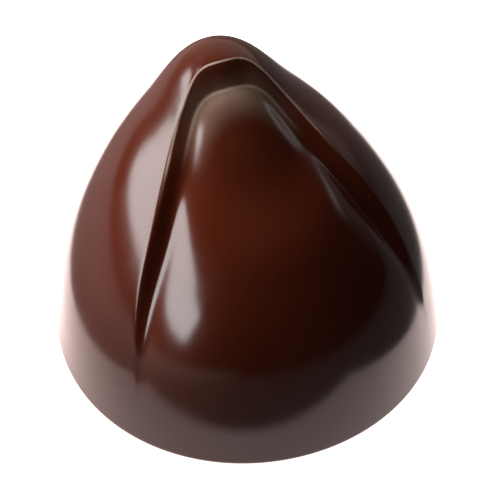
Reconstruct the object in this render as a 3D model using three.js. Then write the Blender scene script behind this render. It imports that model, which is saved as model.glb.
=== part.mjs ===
import * as THREE from 'three';

// A moulded chocolate praline, in millimetres, standing on its flat underside with +Z up.
// The front is toward -Y, and the left and right halves mirror each other across X = 0.
// It is one solid: a tall rounded dome whose crown leans back, with a hood over its front.
// The hood's lower edge is an arch, and inside the arch the front face lies a little deeper.

// Driving dimensions of the dome
const BASE_RADIUS = 14.5;
const HEIGHT = 23.3;
const CROWN_LEAN = 6.1;
const LEAN_POWER = 2.07;
const FOOT_RADIUS = 0.35;

// Slope of the dome's outline, in degrees below level, and where along the outline it is reached
const CROWN_SLOPE = 43.9;
const FLANK_SLOPE = 64.2;
const SKIRT_SLOPE = 82.3;
const CROWN_END = 0.3;
const FLANK_START = 0.194;
const FLANK_SPAN = 0.726;
const SKIRT_START = 0.548;

// Three soft corners that grow toward the base, one below each leg of the arch and one at the back
const CORNER_SWELL = 0.104;

// The shallow neck on each side, between the crown and the shoulder below it
const NECK_DEPTH = 0.65;
const NECK_PLACE = 0.252;
const NECK_SPREAD = 0.153;
const NECK_AZIMUTH = 87;
const NECK_WIDTH = 38;

// A narrower crease where the neck runs toward the hood's edge
const CREASE_DEPTH = 0.16;
const CREASE_PLACE = 0.21;
const CREASE_SPREAD = 0.07;
const CREASE_AZIMUTH = 66;
const CREASE_WIDTH = 18;

// The arch, drawn as it looks from the front and from this many degrees above level: the height of
// its top in that drawing, the radius of its rounded top, the slope of its legs and their flare
const ARCH_VIEW = 50;
const ARCH_TOP = 18.87;
const ARCH_RADIUS = 2.54;
const LEG_SLOPE = 1.97;
const LEG_FLARE = 5.5;
const LEG_FLARE_REACH = 11.6;
const LEG_FLARE_POWER = 16;

// The step from the hood's edge down to the face, wide at the arch's top and narrow at its legs
const STEP_DEPTH = 1.2;
const STEP_DEPTH_AT_BASE = 0.1;
const STEP_WIDTH = 1.93;
const STEP_WIDTH_AT_LEG = 0.85;
const LEG_START = 1.2;
const LEG_END = 4.8;
const EDGE_ROUNDING = 0.08;
const FILLET_ROUNDING = 0.2;

// How the face swells out again from the foot of the step, in slope and in reach
const SWELL_SLOPE_AT_TOP = 0.42;
const SWELL_SLOPE = 0.3;
const SWELL_REACH_AT_TOP = 0.9;
const SWELL_REACH = 0.35;
const SWELL_REACH_LOW = 2.6;
const SWELL_BLEND = 3;

// How finely the surface is divided
const RINGS = 64;
const COLUMNS = 84;
const PROFILE_STEPS = 1200;
const FOOT_RINGS = 3;

const COLOUR = 0x35180f;

const { lerp, degToRad, radToDeg } = THREE.MathUtils;

function easeInOut(x) {
  const k = Math.min(Math.max(x, 0), 1);
  return k * k * k * (k * (6 * k - 15) + 10);
}

// Rises at once from 0 and levels off at 1, as the slope of a round cap does.
function easeOut(x) {
  const k = Math.min(Math.max(x, 0), 1);
  return k * (2 - k);
}

function bump(x, centre, spread) {
  return Math.exp(-(((x - centre) / spread) ** 2));
}

// A ramp that is 0 below zero and x above it, with a bend rounded over the given length.
function softRamp(x, rounding) {
  const k = x / rounding;
  return k > 30 ? x : rounding * Math.log1p(Math.exp(k));
}

// The slope of the dome's outline at a fraction of the way from the crown to the base.
function slopeAt(fraction) {
  const crown = CROWN_SLOPE * easeOut(fraction / CROWN_END);
  const flank = (FLANK_SLOPE - CROWN_SLOPE) * easeInOut((fraction - FLANK_START) / FLANK_SPAN);
  const skirt = (SKIRT_SLOPE - FLANK_SLOPE) * easeInOut((fraction - SKIRT_START) / (1 - SKIRT_START));
  return degToRad(crown + flank + skirt);
}

// Walks down the outline, then scales it to the dome's radius and height.
function makeProfile() {
  const radius = [0];
  const drop = [0];
  for (let i = 1; i <= PROFILE_STEPS; i += 1) {
    const slope = slopeAt((i - 0.5) / PROFILE_STEPS);
    radius.push(radius[i - 1] + Math.cos(slope));
    drop.push(drop[i - 1] + Math.sin(slope));
  }
  const wide = BASE_RADIUS / radius[PROFILE_STEPS];
  const tall = HEIGHT / drop[PROFILE_STEPS];
  const points = [];
  let length = 0;
  for (let i = 0; i <= PROFILE_STEPS; i += 1) {
    const point = { radius: radius[i] * wide, height: HEIGHT - drop[i] * tall, length: 0 };
    if (i > 0) {
      const before = points[i - 1];
      length += Math.hypot(point.radius - before.radius, point.height - before.height);
    }
    point.length = length;
    points.push(point);
  }
  return points;
}

const PROFILE = makeProfile();
const PROFILE_LENGTH = PROFILE[PROFILE_STEPS].length;

// The outline at a fraction of its steps, with its outward direction in the upright plane.
function profileAt(fraction) {
  const place = Math.min(fraction * PROFILE_STEPS, PROFILE_STEPS - 1e-9);
  const low = Math.floor(place);
  const a = PROFILE[low];
  const b = PROFILE[low + 1];
  const k = place - low;
  const run = b.radius - a.radius;
  const fall = a.height - b.height;
  const step = Math.hypot(run, fall);
  return {
    radius: lerp(a.radius, b.radius, k),
    height: lerp(a.height, b.height, k),
    share: lerp(a.length, b.length, k) / PROFILE_LENGTH,
    outward: fall / step,
    upward: run / step,
  };
}

// How far the arch's edge lies below its top at a distance from the middle, and its slope there.
function archEdge(side) {
  const rounded = (side ** 4 + ARCH_RADIUS ** 4) ** 0.25;
  const flare = LEG_FLARE * (side / LEG_FLARE_REACH) ** LEG_FLARE_POWER;
  return {
    fall: LEG_SLOPE * (rounded - ARCH_RADIUS) + flare,
    slope: LEG_SLOPE * (side / rounded) ** 3 + (LEG_FLARE_POWER * flare) / Math.max(side, 1e-6),
  };
}

// Distance inside the arch's edge along the surface: below zero on the hood, above it on the face.
function insideArch(point, normal, slope) {
  const tilt = degToRad(ARCH_VIEW);
  const drawn = point.y * Math.sin(tilt) + point.z * Math.cos(tilt);
  const drop = ARCH_TOP - archEdge(Math.abs(point.x)).fall - drawn;
  const stretch = Math.hypot(1, slope);
  const sideways = slope * Math.sign(point.x) * normal.x;
  const across = (sideways + Math.sin(tilt) * normal.y + Math.cos(tilt) * normal.z) / stretch;
  return drop / stretch / Math.sqrt(Math.max(1 - across ** 2, 0.04));
}

// The step down from the hood's edge, and the swell of the face beyond it.
function archRelief(point, normal, share) {
  const side = Math.abs(point.x);
  const leg = easeInOut((side - LEG_START) / (LEG_END - LEG_START));
  const width = lerp(STEP_WIDTH, STEP_WIDTH_AT_LEG, leg);
  const depth = lerp(STEP_DEPTH, STEP_DEPTH_AT_BASE, easeInOut((share - 0.2) / 0.75));
  const inside = insideArch(point, normal, archEdge(side).slope);
  const step = softRamp(inside, EDGE_ROUNDING) - softRamp(inside - width, FILLET_ROUNDING);
  const belowTop = easeInOut((share - 0.1) / 0.15);
  const low = lerp(SWELL_REACH, SWELL_REACH_LOW, easeInOut((share - 0.34) / 0.26));
  const reach = lerp(SWELL_REACH_AT_TOP, low, belowTop);
  const rise = reach * lerp(SWELL_SLOPE_AT_TOP, SWELL_SLOPE, belowTop);
  const blend = (LEG_SLOPE * side ** 2) / (side ** 2 + SWELL_BLEND ** 2);
  const far = softRamp(insideArch(point, normal, blend) - width, FILLET_ROUNDING) / reach;
  const fade = 1 - easeInOut((share - 0.6) / 0.4);
  return rise * (1 - Math.exp(-far)) * fade - (depth * step) / width;
}

// How far the soft corners stand out from the plain dome and the necks lie in.
function domeRelief(share, azimuth) {
  const degrees = Math.abs(radToDeg(azimuth));
  const corners = CORNER_SWELL * share * Math.cos(3 * azimuth - Math.PI);
  const neck = NECK_DEPTH * bump(share, NECK_PLACE, NECK_SPREAD);
  const crease = CREASE_DEPTH * bump(share, CREASE_PLACE, CREASE_SPREAD);
  return corners
    - neck * bump(degrees, NECK_AZIMUTH, NECK_WIDTH)
    - crease * bump(degrees, CREASE_AZIMUTH, CREASE_WIDTH);
}

// A point of the outer surface. Azimuth 0 is the front, toward -Y, and 90 degrees is +X.
function surfacePoint(fraction, azimuth) {
  const outline = profileAt(fraction);
  const rise = Math.min(Math.max(outline.height / HEIGHT, 0), 1);
  const lean = CROWN_LEAN * rise ** LEAN_POWER;
  const leanSlope = ((CROWN_LEAN * LEAN_POWER) / HEIGHT) * rise ** (LEAN_POWER - 1);
  const placed = (out) => {
    const radius = outline.radius + out * outline.outward;
    const height = outline.height + out * outline.upward;
    return new THREE.Vector3(radius * Math.sin(azimuth), lean - radius * Math.cos(azimuth), height);
  };
  let out = domeRelief(outline.share, azimuth);
  if (Math.cos(azimuth) > 0) {
    const normal = new THREE.Vector3(
      outline.outward * Math.sin(azimuth),
      -outline.outward * Math.cos(azimuth),
      outline.upward + outline.outward * Math.cos(azimuth) * leanSlope,
    );
    out += archRelief(placed(out), normal.normalize(), outline.share);
  }
  return placed(out);
}

// Places along 0 to 1 that crowd together where the given weight is larger.
function crowdedPlaces(count, weight) {
  const samples = 2000;
  const sums = [0];
  for (let i = 0; i < samples; i += 1) {
    sums.push(sums[i] + weight((i + 0.5) / samples));
  }
  const places = [];
  let at = 0;
  for (let i = 0; i <= count; i += 1) {
    const goal = (sums[samples] * i) / count;
    while (at < samples - 1 && sums[at + 1] < goal) {
      at += 1;
    }
    places.push((at + (goal - sums[at]) / (sums[at + 1] - sums[at])) / samples);
  }
  return places;
}

// Rings from just below the crown to just above the underside, closest together at the arch's top.
function makeRings() {
  const fractions = crowdedPlaces(RINGS, (k) => 1 + 1.6 * bump(k, 0.06, 0.08));
  const azimuths = crowdedPlaces(COLUMNS, (k) => {
    const degrees = Math.abs(360 * k - 180);
    return 1 + 2.2 * bump(degrees, 60, 12);
  }).map((k) => degToRad(360 * k - 180));
  const rings = [];
  for (let i = 1; i <= RINGS; i += 1) {
    const ring = [];
    for (let j = 0; j < COLUMNS; j += 1) {
      const point = surfacePoint(fractions[i], azimuths[j]);
      point.z = FOOT_RADIUS + (point.z * (HEIGHT - FOOT_RADIUS)) / HEIGHT;
      ring.push(point);
    }
    rings.push(ring);
  }
  return rings;
}

// Rings that round the bottom edge inward to the flat underside.
function makeFootRings(last) {
  const rings = [];
  for (let i = 1; i <= FOOT_RINGS; i += 1) {
    const turn = (Math.PI / 2) * (i / FOOT_RINGS);
    const inset = FOOT_RADIUS * (1 - Math.cos(turn));
    rings.push(last.map((point) => {
      const reach = Math.hypot(point.x, point.y);
      const keep = (reach - inset) / reach;
      return new THREE.Vector3(point.x * keep, point.y * keep, FOOT_RADIUS * (1 - Math.sin(turn)));
    }));
  }
  return rings;
}

// Joins the rings into one closed skin, with a fan at the crown and one on the underside.
function makeGeometry() {
  const rings = makeRings();
  rings.push(...makeFootRings(rings[rings.length - 1]));
  const crown = new THREE.Vector3(0, CROWN_LEAN, HEIGHT);
  const points = [crown, ...rings.flat(), new THREE.Vector3(0, 0, 0)];
  const faces = [];
  const vertex = (ring, column) => 1 + ring * COLUMNS + (column % COLUMNS);
  const last = rings.length - 1;
  for (let j = 0; j < COLUMNS; j += 1) {
    faces.push(0, vertex(0, j), vertex(0, j + 1));
    faces.push(points.length - 1, vertex(last, j + 1), vertex(last, j));
  }
  for (let i = 0; i < last; i += 1) {
    for (let j = 0; j < COLUMNS; j += 1) {
      faces.push(vertex(i, j), vertex(i + 1, j), vertex(i + 1, j + 1));
      faces.push(vertex(i, j), vertex(i + 1, j + 1), vertex(i, j + 1));
    }
  }
  const geometry = new THREE.BufferGeometry().setFromPoints(points);
  geometry.setIndex(faces);
  geometry.computeBoundingBox();
  const middle = geometry.boundingBox.getCenter(new THREE.Vector3());
  geometry.translate(-middle.x, -middle.y, 0);
  geometry.computeVertexNormals();
  return geometry;
}

const chocolate = new THREE.MeshStandardMaterial({ color: COLOUR, roughness: 0.2, metalness: 0 });

const praline = new THREE.Mesh(makeGeometry(), chocolate);
praline.name = 'praline';

const part = new THREE.Group();
part.add(praline);

export default part;
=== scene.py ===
"""A moulded dark chocolate praline, standing on a plain pale floor under soft studio light."""
import math

import bpy
import numpy as np
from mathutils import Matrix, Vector


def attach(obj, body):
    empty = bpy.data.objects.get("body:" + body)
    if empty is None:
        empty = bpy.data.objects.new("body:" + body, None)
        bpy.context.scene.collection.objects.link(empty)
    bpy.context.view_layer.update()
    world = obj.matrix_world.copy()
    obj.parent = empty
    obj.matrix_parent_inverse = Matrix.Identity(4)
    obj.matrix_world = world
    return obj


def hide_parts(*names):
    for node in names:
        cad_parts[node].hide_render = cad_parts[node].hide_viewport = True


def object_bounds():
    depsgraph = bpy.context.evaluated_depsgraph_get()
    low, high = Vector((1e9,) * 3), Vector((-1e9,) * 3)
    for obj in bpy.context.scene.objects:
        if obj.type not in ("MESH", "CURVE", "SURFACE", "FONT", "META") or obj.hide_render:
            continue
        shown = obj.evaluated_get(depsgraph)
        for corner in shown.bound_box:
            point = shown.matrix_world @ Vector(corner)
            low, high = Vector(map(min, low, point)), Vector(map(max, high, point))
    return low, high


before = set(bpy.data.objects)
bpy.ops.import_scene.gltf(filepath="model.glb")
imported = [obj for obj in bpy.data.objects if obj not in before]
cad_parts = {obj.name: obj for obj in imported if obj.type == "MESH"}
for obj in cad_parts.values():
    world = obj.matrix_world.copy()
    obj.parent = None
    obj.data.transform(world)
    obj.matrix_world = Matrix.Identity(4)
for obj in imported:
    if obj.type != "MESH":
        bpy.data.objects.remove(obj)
cad_low, cad_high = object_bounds()

MM = 0.001

# The praline's driving dimensions. Lengths are in millimetres and angles in degrees, azimuth 0 is
# the front, toward -Y, and a place runs from 0 at the crown to 1 at the base along the outline.
HEIGHT = (cad_high.z - cad_low.z) / MM
BASE_RADIUS = 14.5
CROWN_LEAN = 6.1
LEAN_POWER = 2.07
FOOT_RADIUS = 0.35

# Slope of the dome's outline below level at the crown, on the flank and at the skirt, and the places
# where the change to each starts or ends.
CROWN_SLOPE, CROWN_END = 43.9, 0.3
FLANK_SLOPE, FLANK_START, FLANK_SPAN = 64.2, 0.194, 0.726
SKIRT_SLOPE, SKIRT_START = 82.3, 0.548

# How far the three soft corners of the base stand out.
CORNER_SWELL = 0.104

# The neck on each side, which deepens from nothing at the crown, and the finer crease in it.
NECK_DEPTH, NECK_PLACE, NECK_SPREAD, NECK_FULL = 0.65, 0.252, 0.153, 0.168
NECK_AZIMUTH, NECK_WIDTH = 87, 38
CREASE_DEPTH, CREASE_PLACE, CREASE_SPREAD = 0.16, 0.21, 0.07
CREASE_AZIMUTH, CREASE_WIDTH = 66, 18

# The arch, drawn as it looks from the front and from this many degrees above level: the height of
# its top in that drawing, the radius of the rounded top, the slope of the legs and their flare.
ARCH_VIEW = 50
ARCH_TOP = 18.87
ARCH_RADIUS, ARCH_POWER = 2.54, 4
LEG_SLOPE = 1.97
LEG_FLARE, LEG_FLARE_REACH, LEG_FLARE_POWER = 5.5, 11.6, 16

# The step from the hood's edge down to the face: its depth and the places between which it fades
# out, its width at the arch's top and beside the legs with the distances from the middle between
# which it narrows, and the roundings of its edge and of its foot.
STEP_DEPTH, STEP_FADE_START, STEP_FADE_END = 1.2, 0.38, 0.95
STEP_WIDTH, STEP_WIDTH_AT_LEG = 1.93, 0.85
LEG_START, LEG_END = 0.4, 4.0
EDGE_ROUNDING, FILLET_ROUNDING = 0.08, 0.2

# The swell of the face beyond the foot of the step: its slope there and how far it rises in all, at
# the arch's top, between the upper legs and low on the face, with the places where these change and
# where the swell fades out. The blend is the distance from the middle where the way into the face has
# turned halfway from straight down to square to a leg.
SWELL_SLOPE, SWELL_FADE_START, SWELL_FADE_END = 0.42, 0.52, 0.95
RISE_AT_TOP, RISE_BETWEEN, RISE_LOW = 0.2, 0.06, 1.1
TOP_START, TOP_END = 0.07, 0.24
LOW_START, LOW_END = 0.26, 0.52
SWELL_BLEND = 3.0

# What each point of the mesh knows about its place, and the distance given to the plain back.
MARKS = ("inside_edge", "beyond_foot", "way_down")
OUTSIDE = -9.0

# The mesh: its rings and columns, and how much closer they lie by the arch's top and its legs.
RINGS, COLUMNS, FOOT_RINGS = 220, 360, 8
RING_CROWDING, RING_CROWD_PLACE, RING_CROWD_SPREAD = 1.6, 0.06, 0.08
COLUMN_CROWDING, COLUMN_CROWD_AZIMUTH, COLUMN_CROWD_SPREAD = 2.0, 60, 10
PROFILE_STEPS, CROWD_STEPS = 1200, 4000
# The least share of its length that a slanted stretch of the surface is taken to show in the drawing
# of the arch, and a length that only keeps a division from zero.
LEAST_SHOWN = 0.2
TINY = 1e-6

# The camera of the photograph: it looks down from in front and from the left of the praline's face,
# and its distance is counted from a point on the praline's axis, at the height given here. The aim
# lies to the right of that point and below it in the picture.
CAMERA_AZIMUTH = -19.31
CAMERA_ELEVATION = 50
CAMERA_DISTANCE = 300
CAMERA_HEIGHT_AIM = 12
AIM_RIGHT, AIM_UP = 0.28, -2.84
FOCAL_LENGTH, SENSOR_WIDTH = 292.1, 36
CLIP_START, CLIP_END = 10, 10000


def ease_in_out(x):
    k = np.clip(x, 0, 1)
    return k * k * k * (k * (6 * k - 15) + 10)


def ease_between(x, start, end):
    return ease_in_out((x - start) / (end - start))


def ease_out(x):
    k = np.clip(x, 0, 1)
    return k * (2 - k)


def bump(x, centre, spread):
    return np.exp(-((x - centre) / spread) ** 2)


def lerp(a, b, k):
    return a + (b - a) * k


def soft_ramp(x, rounding):
    """A ramp that is 0 below zero and x above it, with a rounded bend."""
    return rounding * np.logaddexp(0, x / rounding)


def make_profile():
    """The dome's outline from the crown to the base: radius, height and length so far."""
    k = (np.arange(PROFILE_STEPS) + 0.5) / PROFILE_STEPS
    slope = np.radians(
        CROWN_SLOPE * ease_out(k / CROWN_END)
        + (FLANK_SLOPE - CROWN_SLOPE) * ease_in_out((k - FLANK_START) / FLANK_SPAN)
        + (SKIRT_SLOPE - FLANK_SLOPE) * ease_between(k, SKIRT_START, 1)
    )
    radius = np.concatenate([[0], np.cumsum(np.cos(slope))])
    drop = np.concatenate([[0], np.cumsum(np.sin(slope))])
    radius *= BASE_RADIUS / radius[-1]
    height = HEIGHT - drop * HEIGHT / drop[-1]
    length = np.concatenate([[0], np.cumsum(np.hypot(np.diff(radius), np.diff(height)))])
    return radius, height, length


PROFILE_RADIUS, PROFILE_HEIGHT, PROFILE_LENGTH = make_profile()
PLACES = np.linspace(0, 1, PROFILE_STEPS + 1)
OUTLINE_LENGTH = PROFILE_LENGTH[-1]


def arch_edge(side):
    """How far the arch's edge lies below its top at a distance from the middle, and its slope."""
    rounded = (side ** ARCH_POWER + ARCH_RADIUS ** ARCH_POWER) ** (1 / ARCH_POWER)
    flare = LEG_FLARE * (side / LEG_FLARE_REACH) ** LEG_FLARE_POWER
    fall = LEG_SLOPE * (rounded - ARCH_RADIUS) + flare
    slope = LEG_SLOPE * (side / rounded) ** (ARCH_POWER - 1)
    slope = slope + LEG_FLARE_POWER * flare / np.maximum(side, TINY)
    return fall, slope


def inside_drop(point):
    """How far a point lies below the arch's edge, in the drawing of the arch."""
    tilt = math.radians(ARCH_VIEW)
    drawn = point[..., 1] * math.sin(tilt) + point[..., 2] * math.cos(tilt)
    return ARCH_TOP - arch_edge(np.abs(point[..., 0]))[0] - drawn


def inside_arch(point, normal, slope):
    """Distance inside the arch's edge along the surface: below zero on the hood, above on the face."""
    tilt = math.radians(ARCH_VIEW)
    stretch = np.hypot(1, slope)
    across = -slope * np.sign(point[..., 0]) * normal[..., 0]
    across = (across - math.sin(tilt) * normal[..., 1] - math.cos(tilt) * normal[..., 2]) / stretch
    shown = np.sqrt(np.maximum(1 - across ** 2, LEAST_SHOWN ** 2))
    return inside_drop(point) / stretch / shown


def arch_places(point, normal):
    """Distances beyond the hood's edge and beyond the foot of the step, and the step's width."""
    side = np.abs(point[..., 0])
    width = lerp(STEP_WIDTH, STEP_WIDTH_AT_LEG, ease_between(side, LEG_START, LEG_END))
    blend = LEG_SLOPE * side ** 2 / (side ** 2 + SWELL_BLEND ** 2)
    inside = inside_arch(point, normal, arch_edge(side)[1])
    return inside, inside_arch(point, normal, blend) - width, width


def arch_relief(point, normal, share):
    """The step down from the hood's edge and the swell of the face beyond it."""
    inside, beyond, width = arch_places(point, normal)
    depth = STEP_DEPTH * (1 - ease_between(share, STEP_FADE_START, STEP_FADE_END))
    step = soft_ramp(inside, EDGE_ROUNDING) - soft_ramp(inside - width, FILLET_ROUNDING)
    low = lerp(RISE_BETWEEN, RISE_LOW, ease_between(share, LOW_START, LOW_END))
    rise = lerp(RISE_AT_TOP, low, ease_between(share, TOP_START, TOP_END))
    swell = rise * (1 - np.exp(-soft_ramp(beyond, FILLET_ROUNDING) * SWELL_SLOPE / rise))
    return swell * (1 - ease_between(share, SWELL_FADE_START, SWELL_FADE_END)) - depth * step / width


def dome_relief(share, azimuth):
    """How far the soft corners and the necks stand out from the plain dome."""
    degrees = np.abs(np.degrees(azimuth))
    corners = CORNER_SWELL * share * np.cos(3 * azimuth - math.pi)
    neck = NECK_DEPTH * bump(share, NECK_PLACE, NECK_SPREAD) * ease_in_out(share / NECK_FULL)
    neck = neck * bump(degrees, NECK_AZIMUTH, NECK_WIDTH)
    crease = CREASE_DEPTH * bump(share, CREASE_PLACE, CREASE_SPREAD)
    crease = crease * bump(degrees, CREASE_AZIMUTH, CREASE_WIDTH)
    return corners - neck - crease


def lean_at(height):
    """How far the dome leans back at a height, and how fast that grows."""
    rise = np.clip(height / HEIGHT, 0, 1)
    slope = CROWN_LEAN * LEAN_POWER / HEIGHT * rise ** (LEAN_POWER - 1)
    return CROWN_LEAN * rise ** LEAN_POWER, slope


def surface(place, azimuth):
    """Points of the outer surface in millimetres, and where they lie in the arch.

    The second value holds three numbers a point: how far it lies inside the hood's edge, how far it
    lies beyond the foot of the step, and its share of the way from the crown to the base."""
    radius = np.interp(place, PLACES, PROFILE_RADIUS)
    height = np.interp(place, PLACES, PROFILE_HEIGHT)
    length = np.interp(place, PLACES, PROFILE_LENGTH)
    run = np.interp(place, PLACES, np.gradient(PROFILE_RADIUS))
    fall = -np.interp(place, PLACES, np.gradient(PROFILE_HEIGHT))
    stretch = np.hypot(run, fall)
    outward, upward = fall / stretch, run / stretch
    share = length / OUTLINE_LENGTH
    lean, lean_slope = lean_at(height)

    def placed(out):
        reach = radius + out * outward
        back = lean - reach * np.cos(azimuth)
        return np.stack([reach * np.sin(azimuth), back, height + out * upward], -1)

    out = dome_relief(share, azimuth)
    plain = placed(out)
    normal = np.stack([
        outward * np.sin(azimuth),
        -outward * np.cos(azimuth),
        upward + outward * np.cos(azimuth) * lean_slope,
    ], -1)
    normal /= np.linalg.norm(normal, axis=-1, keepdims=True)
    front = np.cos(azimuth) > 0
    out = out + np.where(front, arch_relief(plain, normal, share), 0)
    inside, beyond, _ = arch_places(plain, normal)
    point = placed(out)
    point[..., 2] = FOOT_RADIUS + point[..., 2] * (HEIGHT - FOOT_RADIUS) / HEIGHT
    marks = np.stack([np.where(front, inside, OUTSIDE), np.where(front, beyond, OUTSIDE), share], -1)
    return point, marks


def crowded(count, weight):
    """Places from 0 to 1 that crowd together where the weight is larger."""
    k = (np.arange(CROWD_STEPS) + 0.5) / CROWD_STEPS
    sums = np.concatenate([[0], np.cumsum(weight(k))])
    return np.interp(np.linspace(0, sums[-1], count + 1), sums, np.linspace(0, 1, CROWD_STEPS + 1))


def ring_weight(place):
    return 1 + RING_CROWDING * bump(place, RING_CROWD_PLACE, RING_CROWD_SPREAD)


def column_weight(turn):
    degrees = np.abs(360 * turn - 180)
    return 1 + COLUMN_CROWDING * bump(degrees, COLUMN_CROWD_AZIMUTH, COLUMN_CROWD_SPREAD)


def make_points():
    """The rings of the skin, from just below the crown to the edge of the flat underside."""
    places = crowded(RINGS, ring_weight)[1:]
    turns = crowded(COLUMNS, column_weight)[:-1]
    place, azimuth = np.meshgrid(places, np.radians(360 * turns - 180), indexing="ij")
    rings, marks = surface(place, azimuth)
    last = rings[-1]
    reach = np.hypot(last[:, 0], last[:, 1])
    foot = []
    for i in range(1, FOOT_RINGS + 1):
        turn = math.pi / 2 * i / FOOT_RINGS
        keep = (reach - FOOT_RADIUS * (1 - math.cos(turn))) / reach
        height = np.full(COLUMNS, FOOT_RADIUS * (1 - math.sin(turn)))
        foot.append(np.stack([last[:, 0] * keep, last[:, 1] * keep, height], -1))
    foot_marks = np.repeat(marks[-1:], FOOT_RINGS, 0)
    return np.concatenate([rings, np.array(foot)]), np.concatenate([marks, foot_marks])


def make_mesh(name):
    """The praline's skin, centred on its axis, and how far it was shifted for that."""
    rings, marks = make_points()
    middle = (rings.min((0, 1)) + rings.max((0, 1))) / 2
    crown = [0, CROWN_LEAN, HEIGHT]
    points = np.concatenate([[crown], rings.reshape(-1, 3), [[0, 0, 0]]])
    points[:, :2] -= middle[:2]
    count = len(rings)
    grid = 1 + np.arange(count * COLUMNS).reshape(count, COLUMNS)
    beside = np.roll(grid, -1, 1)
    quads = np.stack([grid[:-1], grid[1:], beside[1:], beside[:-1]], -1).reshape(-1, 4)
    bottom = len(points) - 1
    faces = [[0, int(a), int(b)] for a, b in zip(grid[0], beside[0])]
    faces += quads.tolist()
    faces += [[bottom, int(b), int(a)] for a, b in zip(grid[-1], beside[-1])]
    mesh = bpy.data.meshes.new(name)
    mesh.from_pydata((points * MM).tolist(), [], faces)
    mesh.polygons.foreach_set("use_smooth", [True] * len(faces))
    marks = np.concatenate([[[OUTSIDE, OUTSIDE, 0]], marks.reshape(-1, 3), [[OUTSIDE, OUTSIDE, 1]]])
    for i, mark in enumerate(MARKS):
        mesh.attributes.new(mark, "FLOAT", "POINT").data.foreach_set("value", marks[:, i])
    mesh.update()
    return mesh, middle


def node_kit(owner):
    """Short ways to add the nodes that the materials and the world use."""
    nodes, links = owner.node_tree.nodes, owner.node_tree.links

    def put(socket, value):
        if hasattr(value, "links"):
            links.new(value, socket)
        else:
            socket.default_value = value

    def calc(operation, *values):
        node = nodes.new("ShaderNodeMath")
        node.operation = operation
        for socket, value in zip(node.inputs, values):
            put(socket, value)
        return node.outputs["Value"]

    def ramp(value, start, end, low, high):
        """A smooth change from low to high, while the value goes from start to end."""
        node = nodes.new("ShaderNodeMapRange")
        node.interpolation_type = "SMOOTHSTEP"
        for name, number in (("From Min", start), ("From Max", end), ("To Min", low), ("To Max", high)):
            node.inputs[name].default_value = number
        links.new(value, node.inputs["Value"])
        return node.outputs["Result"]

    return nodes, links, calc, ramp


# The chocolate's base colours: the body's two tones, the pale bloom inside the arch with a painted
# reflection of overhead light laid over it, the painted highlight for the glint lines along the step,
# and the thin rim on the floor.
DARK, LIGHT = (0.046, 0.0070, 0.0022, 1), (0.056, 0.0090, 0.0032, 1)
BLOOM_AND_SHEEN = (0.170, 0.112, 0.082, 1)
PAINTED_HIGHLIGHT = (0.400, 0.310, 0.250, 1)
THIN = (0.220, 0.070, 0.025, 1)
IOR = 1.5

# Below, four numbers say where a smooth ramp starts and ends, and its values there. Two numbers say
# how often a noise changes in a metre and how fine its detail is.
TONE_NOISE, TONES = (90, 4), (0.35, 0.65, 0, 1)
GLOSS_NOISE, ROUGHNESS = (160, 3), (0.2, 0.8, 0.13, 0.21)
DENT_NOISE, DENT_STRENGTH, DENT_DEPTH = (320, 3), 0.12, 0.1
THIN_BY_HEIGHT = (0, 0.6 * MM, 0.6, 0)

# The painted highlight line along the hood's edge, standing in for the glint of its rounded edge: its
# middle beyond the edge, and how it fades to its sides and down the arch and varies along its way.
EDGE_MIDDLE, EDGE_ACROSS = -0.02, (0.02, 0.12, 1, 0)
EDGE_DOWN = (0.22, 0.4, 1, 0)
EDGE_NOISE, EDGE_VARIES = (500, 3), (0.3, 0.7, 0.3, 0.75)

# The same for the fainter painted highlight line along the foot of the step.
RIM_MIDDLE, RIM_ACROSS = 0.05, (0.04, 0.2, 1, 0)
RIM_DOWN = (0.16, 0.3, 0.35, 0)

# The bloom, with a painted reflection of overhead light in it: on the face and, paler, on the step, and
# how it starts at the hood's edge and fades toward the middle of the face and down the arch.
BLOOM_SHEEN_ON_FACE, BLOOM_SHEEN_ON_STEP = (-0.15, 0.1, 0, 1), (-1.5, -0.1, 0.05, 0.4)
BLOOM_SHEEN_AT_EDGE, BLOOM_SHEEN_INWARD = (0, 0.3, 0, 1), (0, 3.4, 1, 0)
BLOOM_SHEEN_DOWN = (0.14, 0.30, 0.75, 0)
BLOOM_SHEEN_NOISE, BLOOM_SHEEN_VARIES = (700, 4), (0.25, 0.75, 0.8, 1.15)


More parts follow.
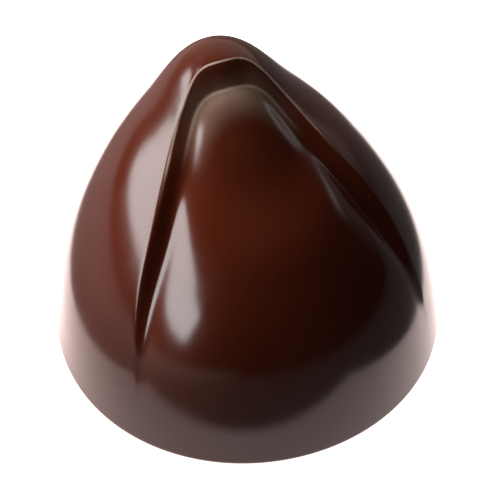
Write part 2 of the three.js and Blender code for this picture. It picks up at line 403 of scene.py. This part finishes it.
def chocolate_material():
    """Glossy dark chocolate with a pale, bloomed patch carrying a painted reflection under the arch's
    top, and a painted highlight line on each edge.
    """
    material = bpy.data.materials.new("dark_chocolate")
    material.use_nodes = True
    nodes, links, calc, ramp = node_kit(material)
    shader = nodes["Principled BSDF"]
    shader.inputs["IOR"].default_value = IOR
    where = nodes.new("ShaderNodeTexCoord").outputs["Object"]

    def noise(scale, detail):
        node = nodes.new("ShaderNodeTexNoise")
        node.inputs["Scale"].default_value = scale
        node.inputs["Detail"].default_value = detail
        links.new(where, node.inputs["Vector"])
        return node.outputs["Fac"]

    def mark(name):
        node = nodes.new("ShaderNodeAttribute")
        node.attribute_name = name
        return node.outputs["Fac"]

    def product(first, *others):
        for other in others:
            first = calc("MULTIPLY", first, other)
        return first

    def line(distance, middle, across):
        return ramp(calc("ABSOLUTE", calc("SUBTRACT", distance, middle)), *across)

    def paint(ground, colour, amount):
        """The ground's colour, covered with another one by an amount from 0 to 1."""
        node = nodes.new("ShaderNodeMix")
        node.data_type = "RGBA"
        links.new(amount, node.inputs["Factor"])
        if isinstance(ground, tuple):
            node.inputs["A"].default_value = ground
        else:
            links.new(ground, node.inputs["A"])
        node.inputs["B"].default_value = colour
        return node.outputs["Result"]

    inside, beyond, way_down = (mark(name) for name in MARKS)
    # Painted highlight: the glint along the hood's edge, as a light line in the base colour.
    edge = product(
        line(inside, EDGE_MIDDLE, EDGE_ACROSS),
        ramp(way_down, *EDGE_DOWN),
        ramp(noise(*EDGE_NOISE), *EDGE_VARIES),
    )
    # Painted highlight: the fainter glint along the foot of the step.
    rim = product(line(beyond, RIM_MIDDLE, RIM_ACROSS), ramp(way_down, *RIM_DOWN))
    # Pale bloom with a painted reflection of overhead light, under the arch's top.
    bloom_and_sheen = product(
        calc("MAXIMUM", ramp(beyond, *BLOOM_SHEEN_ON_FACE), ramp(beyond, *BLOOM_SHEEN_ON_STEP)),
        ramp(inside, *BLOOM_SHEEN_AT_EDGE),
        ramp(beyond, *BLOOM_SHEEN_INWARD),
        ramp(way_down, *BLOOM_SHEEN_DOWN),
        ramp(noise(*BLOOM_SHEEN_NOISE), *BLOOM_SHEEN_VARIES),
    )
    parts = nodes.new("ShaderNodeSeparateXYZ")
    links.new(where, parts.inputs["Vector"])

    colour = paint(DARK, LIGHT, ramp(noise(*TONE_NOISE), *TONES))
    # The bloom with its painted reflection of overhead light.
    colour = paint(colour, BLOOM_AND_SHEEN, bloom_and_sheen)
    # Painted highlight: light glint lines along the step's foot and along the hood's edge.
    colour = paint(colour, PAINTED_HIGHLIGHT, rim)
    colour = paint(colour, PAINTED_HIGHLIGHT, edge)
    colour = paint(colour, THIN, ramp(parts.outputs["Z"], *THIN_BY_HEIGHT))
    links.new(colour, shader.inputs["Base Color"])
    links.new(ramp(noise(*GLOSS_NOISE), *ROUGHNESS), shader.inputs["Roughness"])

    dent = nodes.new("ShaderNodeBump")
    dent.inputs["Strength"].default_value = DENT_STRENGTH
    dent.inputs["Distance"].default_value = DENT_DEPTH * MM
    links.new(noise(*DENT_NOISE), dent.inputs["Height"])
    links.new(dent.outputs["Normal"], shader.inputs["Normal"])
    return material


# The floor: a round sheet just below the praline, in a dark matt grey that sends out light itself.
FLOOR_RADIUS, FLOOR_CORNERS, FLOOR_DROP = 1200, 128, 0.02
FLOOR_GREY, FLOOR_ROUGHNESS = 0.08, 0.9
FLOOR_LIGHT = (1.26, 1.02, 0.98, 1)

# The bright pool on the floor, in the camera's own left-right and front-back directions: its half
# width, its front and back edges, how far each edge fades out, and how bright it is at its front edge
# and from some way behind it on.
POOL_SIDE, POOL_SIDE_FADE = 20.3, 1.0
POOL_FRONT, POOL_FRONT_FADE = -18.2, 3
POOL_BACK, POOL_BACK_FADE = 32, 3
POOL_NEAR, POOL_FAR, POOL_FAR_BEHIND = 1.0, 2.6, 30
# The dim light that the floor sends out beyond the pool, falling from left to right.
DIM_BY_SIDE = (-60, 0, 0.4, 0)


def floor_material():
    """Pale, and brightest where the praline stands."""
    material = bpy.data.materials.new("pale_floor")
    material.use_nodes = True
    nodes, links, calc, ramp = node_kit(material)
    shader = nodes["Principled BSDF"]
    shader.inputs["Base Color"].default_value = (FLOOR_GREY, FLOOR_GREY, FLOOR_GREY, 1)
    shader.inputs["Roughness"].default_value = FLOOR_ROUGHNESS
    shader.inputs["Specular IOR Level"].default_value = 0
    where = nodes.new("ShaderNodeTexCoord")
    turned = nodes.new("ShaderNodeMapping")
    turned.inputs["Rotation"].default_value = (0, 0, math.radians(-CAMERA_AZIMUTH))
    turned.inputs["Scale"].default_value = (1 / MM, 1 / MM, 1 / MM)
    links.new(where.outputs["Object"], turned.inputs["Vector"])
    parts = nodes.new("ShaderNodeSeparateXYZ")
    links.new(turned.outputs["Vector"], parts.inputs["Vector"])
    across, back = parts.outputs["X"], parts.outputs["Y"]
    pool = ramp(calc("ABSOLUTE", across), POOL_SIDE, POOL_SIDE + POOL_SIDE_FADE, 1, 0)
    pool = calc("MULTIPLY", pool, ramp(back, POOL_FRONT - POOL_FRONT_FADE, POOL_FRONT, 0, 1))
    pool = calc("MULTIPLY", pool, ramp(back, POOL_BACK, POOL_BACK + POOL_BACK_FADE, 1, 0))
    level = ramp(back, POOL_FRONT, POOL_FRONT + POOL_FAR_BEHIND, POOL_NEAR, POOL_FAR)
    strength = calc("ADD", calc("MULTIPLY", pool, level), ramp(across, *DIM_BY_SIDE))
    shader.inputs["Emission Color"].default_value = FLOOR_LIGHT
    links.new(strength, shader.inputs["Emission Strength"])
    return material


# The lights' usual distance, the height of the point they face, and the glow of the world: where it
# is, its ramp by the cosine of the angle to it, and its colour.
LIGHT_DISTANCE, LIGHT_AIM_HEIGHT = 400, 10
GLOW_AZIMUTH, GLOW_ELEVATION = 178, 12
GLOW_BY_COSINE = (0.35, 0.95, 0.015, 0.6)
GLOW_COLOUR = (1, 0.96, 0.92, 1)


def direction(azimuth, elevation):
    """Unit vector toward a place seen from the praline; the azimuth is counted from the camera's."""
    a, e = math.radians(azimuth + CAMERA_AZIMUTH), math.radians(elevation)
    return Vector((math.sin(a) * math.cos(e), -math.cos(a) * math.cos(e), math.sin(e)))


def set_up(name, data, location, backward):
    """Adds a light or a camera that faces away from a direction."""
    thing = bpy.data.objects.new(name, data)
    thing.location = location
    thing.rotation_mode = "QUATERNION"
    thing.rotation_quaternion = backward.to_track_quat("Z", "Y")
    bpy.context.collection.objects.link(thing)
    return thing


def softbox(name, azimuth, elevation, width, height, radiance, distance=LIGHT_DISTANCE):
    """A soft panel that faces the praline, sized in millimetres."""
    light = bpy.data.lights.new(name, "AREA")
    light.shape = "RECTANGLE"
    light.size, light.size_y = width * MM, height * MM
    light.energy = radiance * math.pi * width * height * MM ** 2
    toward = direction(azimuth, elevation)
    return set_up(name, light, toward * distance * MM + Vector((0, 0, LIGHT_AIM_HEIGHT * MM)), toward)


def mirrored_only(lamp):
    """The praline shows the lamp as a reflection, and the lamp lights nothing."""
    lamp.visible_diffuse = False


def lighting_only(lamp):
    """The lamp lights the praline and isn't seen in it."""
    lamp.visible_glossy = False


def studio_world():
    """Nearly dark, with a soft glow low behind the praline."""
    world = bpy.data.worlds.new("studio")
    world.use_nodes = True
    nodes, links, _, ramp = node_kit(world)
    where = nodes.new("ShaderNodeTexCoord")
    toward = nodes.new("ShaderNodeVectorMath")
    toward.operation = "DOT_PRODUCT"
    links.new(where.outputs["Generated"], toward.inputs[0])
    toward.inputs[1].default_value = direction(GLOW_AZIMUTH, GLOW_ELEVATION)
    background = nodes["Background"]
    background.inputs["Color"].default_value = GLOW_COLOUR
    links.new(ramp(toward.outputs["Value"], *GLOW_BY_COSINE), background.inputs["Strength"])
    world.cycles_visibility.diffuse = False
    return world


mesh, middle = make_mesh("praline_shell")
praline = bpy.data.objects.new("praline_shell", mesh)
bpy.context.collection.objects.link(praline)
praline.data.materials.append(chocolate_material())
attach(praline, "root")
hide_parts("praline")

bpy.ops.mesh.primitive_circle_add(
    vertices=FLOOR_CORNERS,
    radius=FLOOR_RADIUS * MM,
    fill_type="NGON",
    location=(0, 0, -FLOOR_DROP * MM),
)
floor = bpy.context.object
floor.name = "floor"
floor.data.materials.append(floor_material())
floor.visible_diffuse = False

mirrored_only(softbox("left_panel", azimuth=-75, elevation=26.5, width=570, height=155, radiance=9))
lighting_only(softbox("left_fill", azimuth=-75, elevation=27, width=300, height=150, radiance=9))
softbox("right_panel", azimuth=115, elevation=18, width=80, height=70, radiance=1.0, distance=500)
softbox("small_lamp", azimuth=-107, elevation=51, width=42, height=42, radiance=10)
lighting_only(softbox("key_lamp", azimuth=-130, elevation=42, width=120, height=120, radiance=85))
lighting_only(softbox("top_fill", azimuth=30, elevation=80, width=200, height=200, radiance=3))
bpy.context.scene.world = studio_world()

camera = bpy.data.cameras.new("camera")
camera.lens = FOCAL_LENGTH
camera.sensor_width = SENSOR_WIDTH
camera.clip_start, camera.clip_end = CLIP_START * MM, CLIP_END * MM
back = direction(0, CAMERA_ELEVATION)
right = Vector((0, 0, 1)).cross(back).normalized()
up = back.cross(right)
shift = Vector((-middle[0], -middle[1], 0)) * MM
centre = Vector((0, 0, CAMERA_HEIGHT_AIM * MM)) + shift
aim = centre + (right * AIM_RIGHT + up * AIM_UP) * MM
location = centre + back * CAMERA_DISTANCE * MM
bpy.context.scene.camera = set_up("camera", camera, location, location - aim)

bpy.context.scene.view_settings.view_transform = "Standard"
